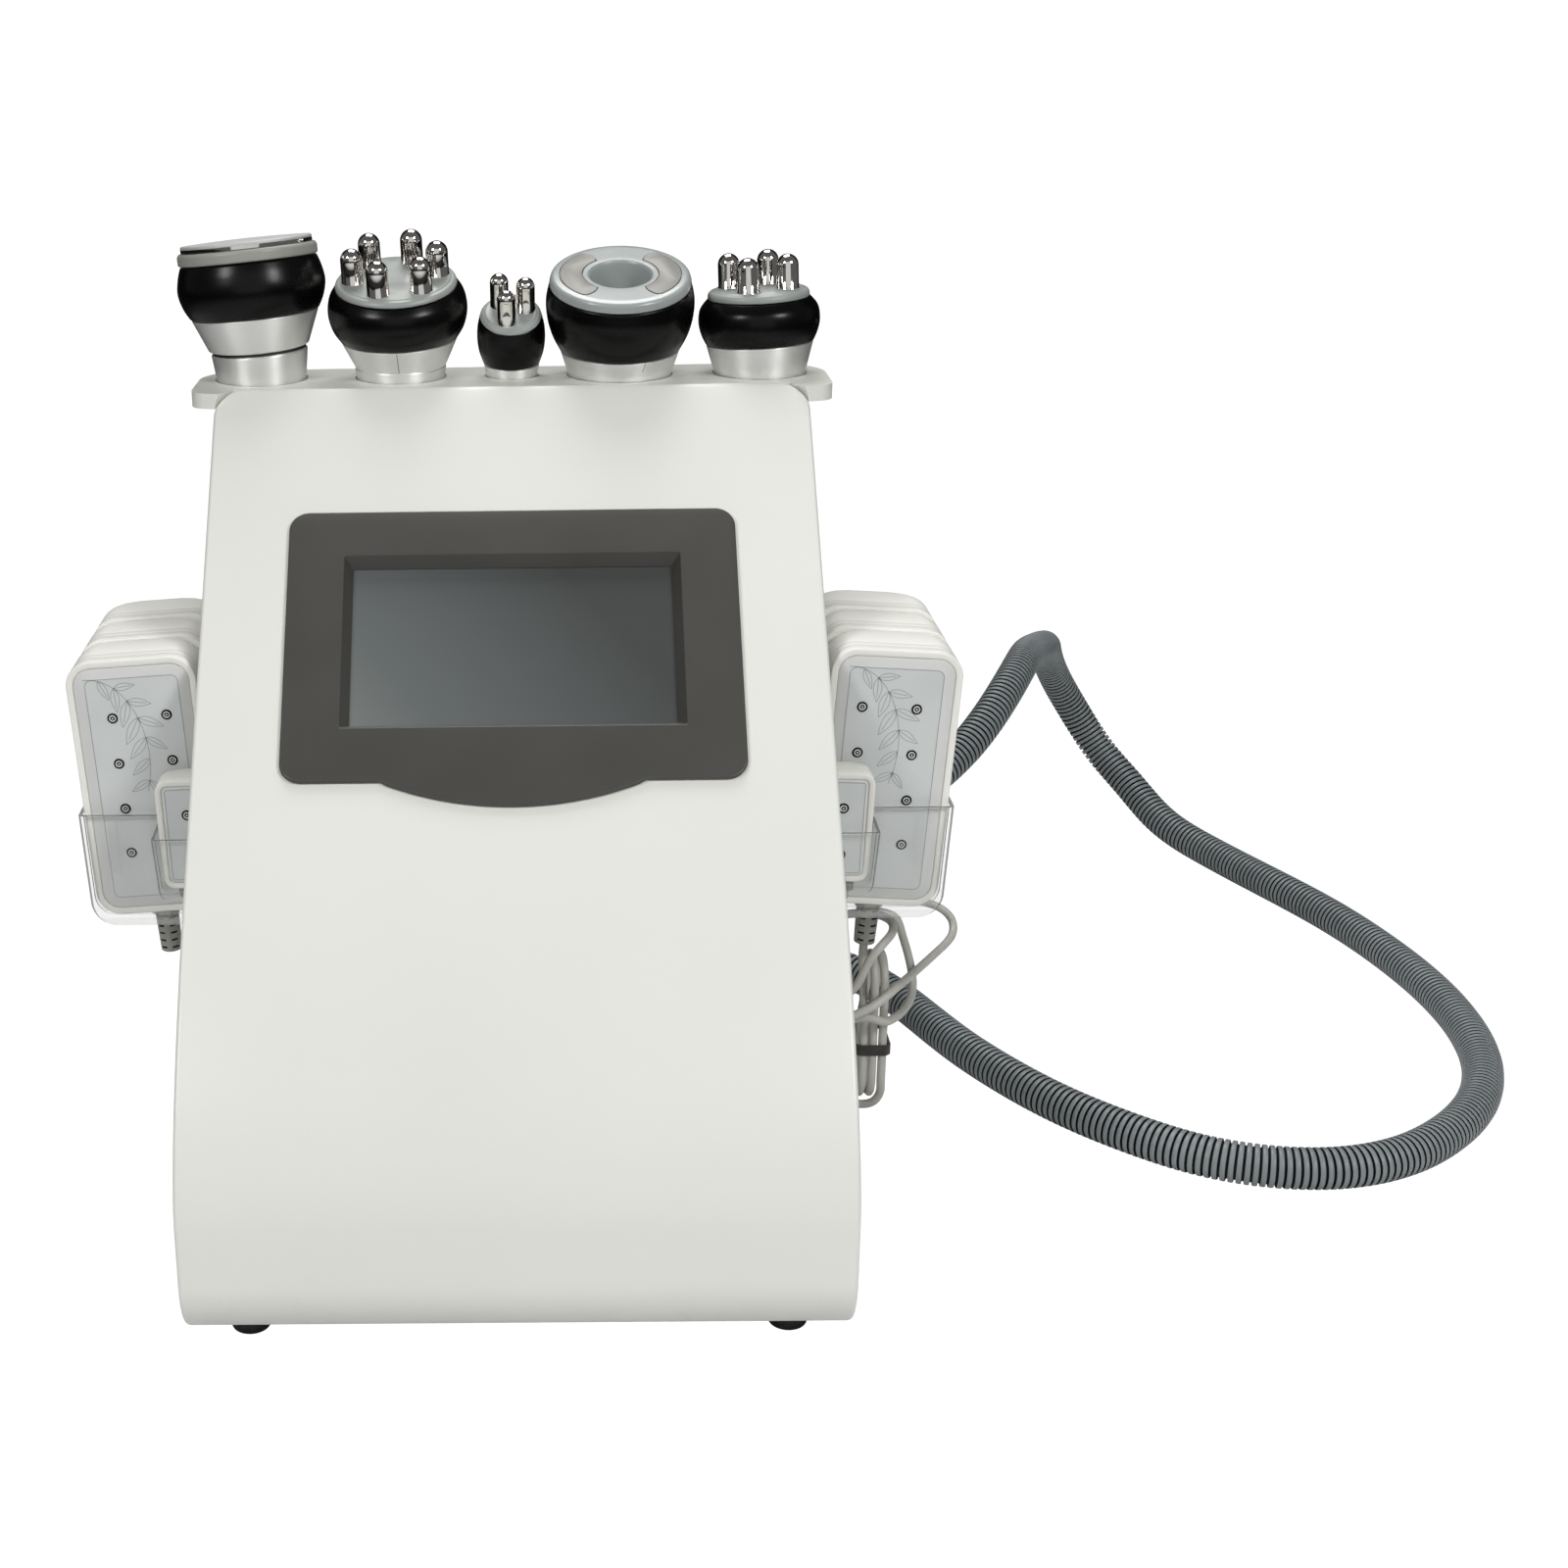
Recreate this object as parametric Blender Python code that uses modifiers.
"""Desk-top ultrasonic cavitation and radio-frequency slimming machine.

A sloping housing with a touch screen carries a shelf of five handpieces at its top and
clear pockets of light pads on both sides. Metres, +Z up, the front faces -Y, and the origin
is on the floor under the middle of the object.
"""

import math

import bmesh
import bpy
import numpy as np
from mathutils import Matrix, Vector

# Driving sizes of the housing
housing_width = 0.300
side_step = 0.0090
body_depth = 0.2895
front_y = -0.1802
shell_thickness = 0.0045
panel_thickness = 0.0030
top_edge_depth = 0.2861
top_edge_height = 0.3881
slope_angle = math.radians(43.63)
slope_length = 0.260
front_height = 0.0716
underside_height = 0.0085
foot_radius = 0.035
foot_return = 0.020
top_corner_radius = 0.015
low_corner_radius = 0.009
edge_round = 0.002

# Driving sizes of the shelf and of what stands in it
tray_top = 0.3875
tray_thickness = 0.0078
tray_overhang = 0.0125
row_standoff = 0.0325
hole_clearance = 0.0010

# Driving sizes of the light pads and their pockets
pad_width = 0.0635
pad_height = 0.1315
pad_thickness = 0.0355
pad_pitch = 0.0373
pad_lean = math.radians(3.65)
pocket_wall = 0.0022
pocket_depth = 0.1169
pocket_height = 0.0580
pocket_floor_height = 0.1435
pocket_front_y = 0.1766

# The running gap between touching pieces, and how far a cutter runs past what it cuts
gap = 0.0003
overrun = 0.002
sharp_angle = math.radians(35)

# Worked out from the sizes above
rear_face_y = front_y + body_depth
half_width = housing_width / 2
side_face_x = half_width - side_step
tray_width = housing_width + 2 * tray_overhang
row_y = rear_face_y + row_standoff
slope_down = Vector((0, -math.cos(slope_angle), -math.sin(slope_angle)))
slope_out = Vector((0, -math.sin(slope_angle), math.cos(slope_angle)))
slope_top = Vector((0, front_y + top_edge_depth, top_edge_height))
slope_frame = Matrix.Translation(slope_top) @ Matrix.Rotation(slope_angle, 4, "X")


# Scene, collections and materials

def clear_scene():
    for item in list(bpy.data.objects):
        bpy.data.objects.remove(item)


def new_collection(name):
    collection = bpy.data.collections.new(name)
    bpy.context.scene.collection.children.link(collection)
    return collection


clear_scene()
parts = new_collection("slimming_machine")
cutters = new_collection("cutters")


def make_material(name, color, roughness, metallic=0.0, alpha=1.0):
    material = bpy.data.materials.new(name)
    material.use_nodes = True
    shader = material.node_tree.nodes["Principled BSDF"]
    shader.inputs["Base Color"].default_value = (*color, 1.0)
    shader.inputs["Roughness"].default_value = roughness
    shader.inputs["Metallic"].default_value = metallic
    shader.inputs["Alpha"].default_value = alpha
    return material


shell_white = ((0.75, 0.76, 0.72), 0.35)
panel_white = ((0.70, 0.71, 0.68), 0.45)
case_white = ((0.76, 0.75, 0.70), 0.40)
rubber_black = ((0.02, 0.02, 0.02), 0.70)
band_black = ((0.012, 0.012, 0.014), 0.22)
bezel_gray = ((0.075, 0.072, 0.065), 0.40)
glass_gray = ((0.12, 0.14, 0.135), 0.12)
silver = ((0.62, 0.63, 0.61), 0.32, 0.85)
chrome = ((0.80, 0.79, 0.77), 0.08, 1.0)
face_gray = ((0.55, 0.60, 0.59), 0.35)
clear_plastic = ((0.80, 0.84, 0.84), 0.10, 0.0, 0.35)
hose_gray = ((0.10, 0.115, 0.12), 0.45)
lead_gray = ((0.36, 0.36, 0.34), 0.50)
board_green = ((0.03, 0.16, 0.07), 0.50)
steel = ((0.50, 0.50, 0.50), 0.40, 0.9)


# Modelling helpers

def add_part(name, mesh, finish, matrix=None):
    """A named part with its own material."""
    item = bpy.data.objects.new(name, mesh)
    parts.objects.link(item)
    if matrix is not None:
        item.matrix_world = matrix
    mesh.materials.clear()
    mesh.materials.append(make_material(name, *finish))
    mesh.shade_smooth()
    mesh.set_sharp_from_angle(angle=sharp_angle)
    return item


def carry(name, place, items):
    """An empty on a joint's axis that carries the pieces which move together."""
    empty = bpy.data.objects.new(name, None)
    parts.objects.link(empty)
    empty.matrix_world = Matrix.Translation(place)
    bpy.context.view_layer.update()
    for item in items:
        item.parent = empty
        item.matrix_parent_inverse = empty.matrix_world.inverted()


def add_tool(mesh, matrix=None):
    """A shape that only cuts a part, or is joined into one."""
    item = bpy.data.objects.new("tool", mesh)
    cutters.objects.link(item)
    if matrix is not None:
        item.matrix_world = matrix
    item.hide_render = True
    item.display_type = "WIRE"
    return item


def combine(item, tool, operation):
    step = item.modifiers.new(operation.lower(), "BOOLEAN")
    step.operation = operation
    step.object = tool
    step.solver = "EXACT"


def cut(item, tool):
    combine(item, tool, "DIFFERENCE")


def join(item, tool):
    combine(item, tool, "UNION")


def mesh_from_bmesh(shape):
    bmesh.ops.recalc_face_normals(shape, faces=shape.faces)
    mesh = bpy.data.meshes.new("mesh")
    shape.to_mesh(mesh)
    shape.free()
    return mesh


def mesh_from_object(item):
    """The evaluated mesh of a curve or a modified object, with its loose caps welded."""
    bpy.context.view_layer.update()
    graph = bpy.context.evaluated_depsgraph_get()
    mesh = bpy.data.meshes.new_from_object(item.evaluated_get(graph))
    mesh.transform(item.matrix_world)
    shape = bmesh.new()
    shape.from_mesh(mesh)
    weld_distance = gap / 30
    bmesh.ops.remove_doubles(shape, verts=shape.verts, dist=weld_distance)
    bpy.data.objects.remove(item)
    return mesh_from_bmesh(shape)


def box_mesh(low, high):
    low, high = Vector(low), Vector(high)
    shape = bmesh.new()
    bmesh.ops.create_cube(shape, size=1)
    size = high - low
    bmesh.ops.scale(shape, vec=size, verts=shape.verts)
    bmesh.ops.translate(shape, vec=(low + high) / 2, verts=shape.verts)
    return mesh_from_bmesh(shape)


def rod_mesh(start, end, radius, end_radius=None, segments=16):
    """A cylinder, or a cone, between two points."""
    start, end = Vector(start), Vector(end)
    shape = bmesh.new()
    bmesh.ops.create_cone(
        shape, cap_ends=True, segments=segments, radius1=radius,
        radius2=radius if end_radius is None else end_radius, depth=(end - start).length,
    )
    turn = (end - start).to_track_quat("Z", "Y").to_matrix().to_4x4()
    bmesh.ops.transform(shape, matrix=Matrix.Translation((start + end) / 2) @ turn, verts=shape.verts)
    return mesh_from_bmesh(shape)


def loft_mesh(rings):
    """A closed body through rings of equally many points."""
    shape = bmesh.new()
    rows = [[shape.verts.new(point) for point in ring] for ring in rings]
    count = len(rows[0])
    for row, following in zip(rows, rows[1:]):
        for i in range(count):
            j = (i + 1) % count
            shape.faces.new((row[i], row[j], following[j], following[i]))
    shape.faces.new(rows[0])
    shape.faces.new(rows[-1])
    return mesh_from_bmesh(shape)


def plate_mesh(outline, thickness, matrix=None):
    """A flat plate from a 2D curve, centred on its own plane."""
    curve = bpy.data.curves.new("outline", "CURVE")
    curve.dimensions = "2D"
    curve.fill_mode = "BOTH"
    curve.extrude = thickness / 2
    spline = curve.splines.new("POLY")
    spline.points.add(len(outline) - 1)
    for point, (x, y) in zip(spline.points, outline):
        point.co = (x, y, 0, 1)
    spline.use_cyclic_u = True
    item = bpy.data.objects.new("outline", curve)
    cutters.objects.link(item)
    if matrix is not None:
        item.matrix_world = matrix
    return mesh_from_object(item)


def turned_mesh(profile, segments, closed=False):
    """A turned body. The profile of (radius, height) runs down its outer side."""
    mesh = bpy.data.meshes.new("profile")
    points = [(radius, 0, height) for radius, height in profile]
    edges = [(i, i + 1) for i in range(len(points) - 1)]
    if closed:
        edges.append((len(points) - 1, 0))
    mesh.from_pydata(points, edges, [])
    item = bpy.data.objects.new("profile", mesh)
    cutters.objects.link(item)
    screw = item.modifiers.new("turn", "SCREW")
    screw.steps = segments
    screw.render_steps = segments
    screw.use_merge_vertices = True
    screw.merge_threshold = gap / 30
    return mesh_from_object(item)


def arc(center, radius, start, end, steps):
    """Points of (x, y) along an arc, from one angle in degrees to another."""
    angles = [math.radians(start + (end - start) * i / steps) for i in range(steps + 1)]
    return [(center[0] + radius * math.cos(a), center[1] + radius * math.sin(a)) for a in angles]


def rounded_rectangle(width, height, radius, steps):
    """Points of (x, y), counter-clockwise, centred on the origin."""
    x, y = width / 2 - radius, height / 2 - radius
    return (
        arc((x, y), radius, 0, 90, steps)
        + arc((-x, y), radius, 90, 180, steps)
        + arc((-x, -y), radius, 180, 270, steps)
        + arc((x, -y), radius, 270, 360, steps)
    )


def smooth_curve(route):
    """The natural cubic spline through a route, as a function of the distance along it, and its length."""
    points = np.array(route, float)
    steps = np.linalg.norm(np.diff(points, axis=0), axis=1)
    place = np.concatenate([[0.0], np.cumsum(steps)])
    count = len(points)
    system = np.eye(count)
    target = np.zeros_like(points)
    for i in range(1, count - 1):
        before, after = steps[i - 1], steps[i]
        system[i, i - 1 : i + 2] = (before, 2 * (before + after), after)
        target[i] = 6 * ((points[i + 1] - points[i]) / after - (points[i] - points[i - 1]) / before)
    bend = np.linalg.solve(system, target)

    def at(distance):
        i = int(np.clip(np.searchsorted(place, distance) - 1, 0, count - 2))
        step = steps[i]
        left, right = place[i + 1] - distance, distance - place[i]
        return (
            (bend[i] * left**3 + bend[i + 1] * right**3) / (6 * step)
            + (points[i] / step - bend[i] * step / 6) * left
            + (points[i + 1] / step - bend[i + 1] * step / 6) * right
        )

    return at, place


def sample_route(route, count):
    """Evenly spaced points of the curve through a route."""
    at, place = smooth_curve(route)
    return [at(place[-1] * i / (count - 1)) for i in range(count)]


def tube_object(points, radius, sides_step, shares=None):
    """A tube along points: a POLY spline with a round bevel and filled ends."""
    curve = bpy.data.curves.new("tube", "CURVE")
    curve.dimensions = "3D"
    curve.bevel_depth = radius
    curve.bevel_resolution = sides_step
    curve.use_fill_caps = True
    spline = curve.splines.new("POLY")
    spline.points.add(len(points) - 1)
    for i, point in enumerate(points):
        spline.points[i].co = (*point, 1)
        spline.points[i].radius = 1 if shares is None else shares[i]
    item = bpy.data.objects.new("tube", curve)
    cutters.objects.link(item)
    return item


# Housing: the front is one curved sheet, and everything else stands inside its line

bend_reach_share = 0.62
bend_steps = 6
foot_steps = 4


def front_line():
    """The outer line of the front as (y, z) points with the distance in from the side edge."""
    down = Vector((-math.cos(slope_angle), -math.sin(slope_angle)))
    top = Vector((front_y + top_edge_depth, top_edge_height))
    line = []
    for i in range(5):
        angle = math.radians(90 * i / 4)
        along = top_corner_radius * (1 - math.cos(angle))
        line.append((top + down * along, top_corner_radius * (1 - math.sin(angle))))
    start = top + down * slope_length
    end = Vector((front_y, front_height))
    drop = start.y - end.y
    first = start + down * (bend_reach_share * (start.x - end.x) / math.cos(slope_angle))
    last = end + Vector((0, 1)) * (drop - (start.x - end.x) * math.tan(slope_angle)) * bend_reach_share
    for i in range(bend_steps + 1):
        t = i / bend_steps
        point = (
            start * (1 - t) ** 3 + first * 3 * t * (1 - t) ** 2 + last * 3 * t**2 * (1 - t) + end * t**3
        )
        line.append((point, 0))
    center = (front_y + foot_radius, underside_height + foot_radius)
    for y, z in arc(center, foot_radius, 180, 270, foot_steps):
        rise = max(z - underside_height, 0)
        inset = 0
        if rise < low_corner_radius:
            inset = low_corner_radius - math.sqrt(low_corner_radius**2 - (low_corner_radius - rise) ** 2)
        line.append((Vector((y, z)), inset))
    line.append((Vector((center[0] + foot_return, underside_height)), low_corner_radius))
    return line


def inward(line, index):
    """The unit normal into the housing at a point of the front line."""
    before = line[max(index - 1, 0)][0]
    after = line[min(index + 1, len(line) - 1)][0]
    if index <= 4:
        before, after = line[0][0], line[4][0]
    along = (after - before).normalized()
    return Vector((-along.y, along.x))


def offset_line(distance):
    """The front line moved into the housing, as (y, z) pairs."""
    line = front_line()
    return [line[i][0] + inward(line, i) * distance for i in range(len(line))]


def front_section(point, normal, inset):
    """One slice across the front: a sheet with rounded outer edges."""
    x = half_width - inset
    soft_share = 0.29
    across = [
        (x, shell_thickness), (x, edge_round), (x - edge_round * soft_share, edge_round * soft_share),
        (x - edge_round, 0), (-x + edge_round, 0), (-x + edge_round * soft_share, edge_round * soft_share),
        (-x, edge_round), (-x, shell_thickness),
    ]
    return [(side, *(point + normal * depth)) for side, depth in across]


# Bezel and screen, in the plane of the slope: x across, y up the slope from the top edge, z out

bezel_half_width = 0.1088
bezel_top = 0.0755
bezel_bottom = 0.2235
bezel_tongue_half = 0.0615
bezel_tongue_drop = 0.0125
bezel_fall = 0.0006
bezel_corner = 0.0100
bezel_plate = 0.0022
boss_half_width = 0.0900
boss_top = 0.0925
boss_bottom = 0.2040
boss_corner = 0.0040
screen_depth = 0.0043
window_half_width = 0.07704
window_top = 0.1051
window_height = 0.0859
window_flare = 0.0040


def bezel_outline():
    x, c = bezel_half_width, bezel_corner
    drop, half = bezel_tongue_drop, bezel_tongue_half
    radius = (half**2 + drop**2) / (2 * drop)
    sweep = math.degrees(math.asin(half / radius))
    tongue = arc((0, -bezel_bottom - bezel_fall - drop + radius), radius, 270 + sweep, 270 - sweep, 10)
    return (
        arc((x - c, -bezel_bottom + c), c, 0, -90, 4) + tongue
        + arc((-x + c, -bezel_bottom + c), c, 270, 180, 4)
        + arc((-x + c, -bezel_top - c), c, 180, 90, 4) + arc((x - c, -bezel_top - c), c, 90, 0, 4)
    )


def boss_outline(clearance):
    half = boss_half_width + clearance
    height = boss_bottom - boss_top + 2 * clearance
    middle = (boss_top + boss_bottom) / 2
    points = rounded_rectangle(2 * half, height, boss_corner + clearance, 2)
    return [(x, y - middle) for x, y in points]


def window_rings(depths_and_flares):
    middle = -(window_top + window_height / 2)
    rings = []
    for depth, flare in depths_and_flares:
        x, y = window_half_width + flare, window_height / 2 + flare
        rings.append([(x, middle - y, depth), (x, middle + y, depth),
                      (-x, middle + y, depth), (-x, middle - y, depth)])
    return rings


def make_front_panel():
    line = front_line()
    rings = [front_section(point, inward(line, i), inset) for i, (point, inset) in enumerate(line)]
    panel = add_part("front_panel", loft_mesh(rings), shell_white)
    reach = shell_thickness + 2 * overrun
    cut(panel, add_tool(plate_mesh(boss_outline(gap), 2 * reach, slope_frame)))


def make_bezel():
    lift = Matrix.Translation(slope_out * (gap + bezel_plate / 2)) @ slope_frame
    bezel = add_part("screen_bezel", plate_mesh(bezel_outline(), bezel_plate, lift), bezel_gray)
    boss_height = screen_depth + gap + bezel_plate / 2
    sink = Matrix.Translation(slope_out * (boss_height / 2 - screen_depth)) @ slope_frame
    join(bezel, add_tool(plate_mesh(boss_outline(0), boss_height, sink)))
    top = gap + bezel_plate
    slant = window_flare / (top + screen_depth)
    window = window_rings([
        (top + overrun, window_flare + slant * overrun),
        (-screen_depth - overrun, -slant * overrun),
    ])
    cut(bezel, add_tool(loft_mesh(window), slope_frame))


screen_module = 0.0060
screen_margin = 0.0070
board_standoff = 0.0060
standoff_radius = 0.0030
board_thickness = 0.0016


def make_screen():
    middle = -(window_top + window_height / 2)
    x, y = window_half_width + screen_margin, window_height / 2 + screen_margin
    front = -screen_depth - gap
    back = front - screen_module
    mesh = box_mesh((-x, middle - y, back), (x, middle + y, front))
    screen = add_part("touch_screen", mesh, glass_gray, slope_frame)
    stand_x, stand_y = x - 2 * standoff_radius, y - 2 * standoff_radius
    for side in (-1, 1):
        for end in (-1, 1):
            foot = Vector((side * stand_x, middle + end * stand_y, back + overrun))
            tip = Vector((foot.x, foot.y, back - board_standoff))
            join(screen, add_tool(rod_mesh(tip, foot, standoff_radius, segments=10), slope_frame))
    board_top = back - board_standoff + board_thickness / 2
    board = box_mesh((-x, middle - y, board_top - board_thickness), (x, middle + y, board_top))
    join(screen, add_tool(board, slope_frame))
    add_board_parts(screen, middle, board_top - board_thickness)


chip_size = 0.0260
chip_height = 0.0040
connector_length = 0.0400
connector_depth = 0.0090


def add_board_parts(board, middle, back):
    chip = box_mesh((-chip_size / 2, middle - chip_size / 2, back - chip_height),
                    (chip_size / 2, middle + chip_size / 2, back + board_thickness / 2))
    join(board, add_tool(chip, slope_frame))
    for side in (-1, 1):
        x = side * (window_half_width - connector_length / 2)
        low = (x - connector_length / 2, middle - chip_size, back - connector_depth)
        high = (x + connector_length / 2, middle - chip_size / 2 - chip_height, back + board_thickness / 2)
        join(board, add_tool(box_mesh(low, high), slope_frame))


def side_outline():
    """The side panels' outline in (y, z), inside the front sheet and on the base plate."""
    inset = shell_thickness + gap
    floor = underside_height + shell_thickness + gap
    back = rear_face_y - panel_thickness - gap
    line = [(point.x, point.y) for point in offset_line(inset)[4:]]
    line = [(y, z) for y, z in line if z >= floor - gap]
    first = line[0]
    ceiling = first[1] + (back - first[0]) * math.tan(slope_angle)
    return [(back, ceiling), *line, (back, floor)]


gland_radius = 0.0050
gland_length = 0.0060
gland_places = {
    "rear": (0.166, 0.088),
    "middle": (0.180, 0.080),
    "small": (0.177, 0.0965),
    "front": (0.200, 0.034),
}
vent_length = 0.045
vent_height = 0.0035
vent_pitch = 0.0080
vent_count = 5
vent_start = (0.228, 0.030)


def make_side_panels():
    for name, side in (("side_panel_left", -1), ("side_panel_right", 1)):
        x = side * (side_face_x - panel_thickness / 2)
        stand = Matrix(((0, 0, side, x), (1, 0, 0, 0), (0, 1, 0, 0), (0, 0, 0, 1)))
        panel = add_part(name, plate_mesh(side_outline(), panel_thickness, stand), panel_white)
        for y, z in gland_places.values():
            inner = Vector((x, front_y + y, z))
            outer = inner + Vector((side * (gland_length + panel_thickness / 2), 0, 0))
            join(panel, add_tool(rod_mesh(inner, outer, gland_radius, segments=8)))
        for i in range(vent_count):
            y, z = front_y + vent_start[0], vent_start[1] + i * vent_pitch
            low = (x - panel_thickness - overrun, y, z)
            high = (x + panel_thickness + overrun, y + vent_length, z + vent_height)
            cut(panel, add_tool(box_mesh(low, high)))


def make_base():
    floor = underside_height
    low = (-side_face_x, front_y + foot_radius + foot_return + gap, floor)
    high = (side_face_x, rear_face_y, floor + shell_thickness)
    add_part("base_plate", box_mesh(low, high), panel_white)


foot_places = (("front", 0.038), ("rear", 0.252))
rubber_foot_radius = 0.0100
foot_inset = 0.0175
foot_taper_share = 0.88


def make_feet():
    top = underside_height - gap
    low = rubber_foot_radius * foot_taper_share
    profile = [
        (0, top), (rubber_foot_radius, top), (low, 0), (0, 0),
    ]
    for place, y in foot_places:
        for name, side in (("left", -1), ("right", 1)):
            at = Matrix.Translation((side * (side_face_x - foot_inset), front_y + y, 0))
            add_part(f"foot_{place}_{name}", turned_mesh(profile, 16), rubber_black, at)


# Rear panel with the fan, the mains inlet and the hose port

fan_size = 0.060
fan_depth = 0.015
fan_bore = 0.0280
fan_center = (-0.062, 0.150)
fan_hub_radius = 0.0120
fan_base_thickness = 0.0020
fan_strut = 0.0030
blade_count = 7
blade_reach = 0.0265
blade_chord = 0.0100
blade_thickness = 0.0012
blade_pitch = math.radians(38)
blade_run = 0.0018
slot_height = 0.0040
slot_pitch = 0.0070
slot_count = 7

inlet_center = (0.075, 0.150)
inlet_width = 0.030
inlet_height = 0.062
inlet_flange = 0.0025
inlet_body_inset = 0.0018
inlet_body_depth = 0.028
socket_width = 0.0240
socket_height = 0.0165
socket_depth = 0.0160
socket_drop = 0.0160
pin_length = 0.0110
pin_width = 0.0040
pin_thickness = 0.0020
pin_spread = 0.0070
pin_rise = 0.0040
fuse_width = 0.0200
fuse_height = 0.0080
fuse_depth = 0.0012
fuse_rise = 0.0010
rocker_well_width = 0.0136
rocker_well_height = 0.0200
rocker_well_depth = 0.0100
rocker_rise = 0.0180
rocker_height = 0.0176
rocker_depth = 0.0070
rocker_crown = 0.0016
rocker_throw = math.radians(10)

port_x = 0.062
port_height = 0.034
port_flange_radius = 0.0180
port_flange = 0.0030
port_barrel_radius = 0.0135
port_length = 0.0184
port_bore_radius = 0.0065
port_spigot_radius = 0.0105
port_spigot = 0.0140


def make_rear_panel():
    inner = rear_face_y - panel_thickness
    floor = underside_height + shell_thickness + gap
    rise = shell_thickness / math.cos(slope_angle)
    ceiling = top_edge_height - (front_y + top_edge_depth - inner) * math.tan(slope_angle) - rise - gap
    mesh = box_mesh((-side_face_x, inner, floor), (side_face_x, rear_face_y, ceiling))
    panel = add_part("rear_panel", mesh, panel_white)
    x, z = fan_center
    for i in range(slot_count):
        rise = (i - (slot_count - 1) / 2) * slot_pitch
        reach = math.sqrt(fan_bore**2 - rise**2) - slot_height / 2
        low = (x - reach, inner - overrun, z + rise - slot_height / 2)
        high = (x + reach, rear_face_y + overrun, z + rise + slot_height / 2)
        cut(panel, add_tool(box_mesh(low, high)))
    x, z = inlet_center
    half_x = inlet_width / 2 - inlet_body_inset + gap
    half_z = inlet_height / 2 - inlet_body_inset + gap
    low = (x - half_x, inner - overrun, z - half_z)
    high = (x + half_x, rear_face_y + overrun, z + half_z)
    cut(panel, add_tool(box_mesh(low, high)))
    start = Vector((port_x, inner - overrun, port_height))
    end = Vector((port_x, rear_face_y + overrun, port_height))
    cut(panel, add_tool(rod_mesh(start, end, port_spigot_radius + gap, segments=16)))


def make_fan():
    x, z = fan_center
    outer = rear_face_y - panel_thickness - gap
    inner = outer - fan_depth
    half = fan_size / 2
    frame = add_part("fan_frame", box_mesh((x - half, inner, z - half), (x + half, outer, z + half)),
                     rubber_black)
    start, end = Vector((x, inner - overrun, z)), Vector((x, outer + overrun, z))
    cut(frame, add_tool(rod_mesh(start, end, fan_bore, segments=16)))
    base = inner + fan_base_thickness
    join(frame, add_tool(rod_mesh((x, inner, z), (x, base, z), fan_hub_radius, segments=12)))
    for turn in (45, 135):
        strut = box_mesh((-fan_bore - fan_strut / 2, -fan_base_thickness / 2, -fan_strut / 2),
                         (fan_bore + fan_strut / 2, fan_base_thickness / 2, fan_strut / 2))
        middle = Matrix.Translation((x, inner + fan_base_thickness / 2, z))
        join(frame, add_tool(strut, middle @ Matrix.Rotation(math.radians(turn), 4, "Y")))
    hub_start, hub_end = base + gap, outer - 3 * overrun / 4
    middle_y = (hub_start + hub_end) / 2
    reach = (hub_end - hub_start) / 2
    hub = rod_mesh((0, -reach, 0), (0, reach, 0), fan_hub_radius, segments=14)
    rotor = add_part("fan_rotor", hub, rubber_black, Matrix.Translation((x, middle_y, z)))
    root_share = 0.8
    for i in range(blade_count):
        blade = box_mesh((fan_hub_radius * root_share, -blade_thickness / 2, -blade_chord / 2),
                         (blade_reach, blade_thickness / 2, blade_chord / 2))
        spin = Matrix.Rotation(2 * math.pi * i / blade_count, 4, "Y")
        pitch = Matrix.Rotation(blade_pitch, 4, "X")
        join(rotor, add_tool(blade, Matrix.Translation((x, middle_y, z)) @ spin @ pitch))


def make_inlet():
    x, z = inlet_center
    face = rear_face_y + gap + inlet_flange
    flange = box_mesh((x - inlet_width / 2, rear_face_y + gap, z - inlet_height / 2),
                      (x + inlet_width / 2, face, z + inlet_height / 2))
    inlet = add_part("power_inlet", flange, rubber_black)
    half_x, half_z = inlet_width / 2 - inlet_body_inset, inlet_height / 2 - inlet_body_inset
    back = rear_face_y - inlet_body_depth
    body = box_mesh((x - half_x, back, z - half_z), (x + half_x, face - inlet_flange / 2, z + half_z))
    join(inlet, add_tool(body))
    socket_z = z - socket_drop
    low = (x - socket_width / 2, face - socket_depth, socket_z - socket_height / 2)
    high = (x + socket_width / 2, face + overrun, socket_z + socket_height / 2)
    cut(inlet, add_tool(box_mesh(low, high)))
    for pin_x, pin_z in ((-pin_spread, -pin_rise), (pin_spread, -pin_rise), (0, pin_rise)):
        low = (x + pin_x - pin_thickness / 2, face - socket_depth - overrun, socket_z + pin_z - pin_width / 2)
        high = (x + pin_x + pin_thickness / 2, face - socket_depth + pin_length, socket_z + pin_z + pin_width / 2)
        join(inlet, add_tool(box_mesh(low, high)))
    low = (x - fuse_width / 2, face - overrun, z + fuse_rise - fuse_height / 2)
    high = (x + fuse_width / 2, face + fuse_depth, z + fuse_rise + fuse_height / 2)
    join(inlet, add_tool(box_mesh(low, high)))
    low = (x - rocker_well_width / 2, face - rocker_well_depth, z + rocker_rise - rocker_well_height / 2)
    high = (x + rocker_well_width / 2, face + overrun, z + rocker_rise + rocker_well_height / 2)
    cut(inlet, add_tool(box_mesh(low, high)))
    make_rocker(Vector((x, face, z + rocker_rise)))


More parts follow.
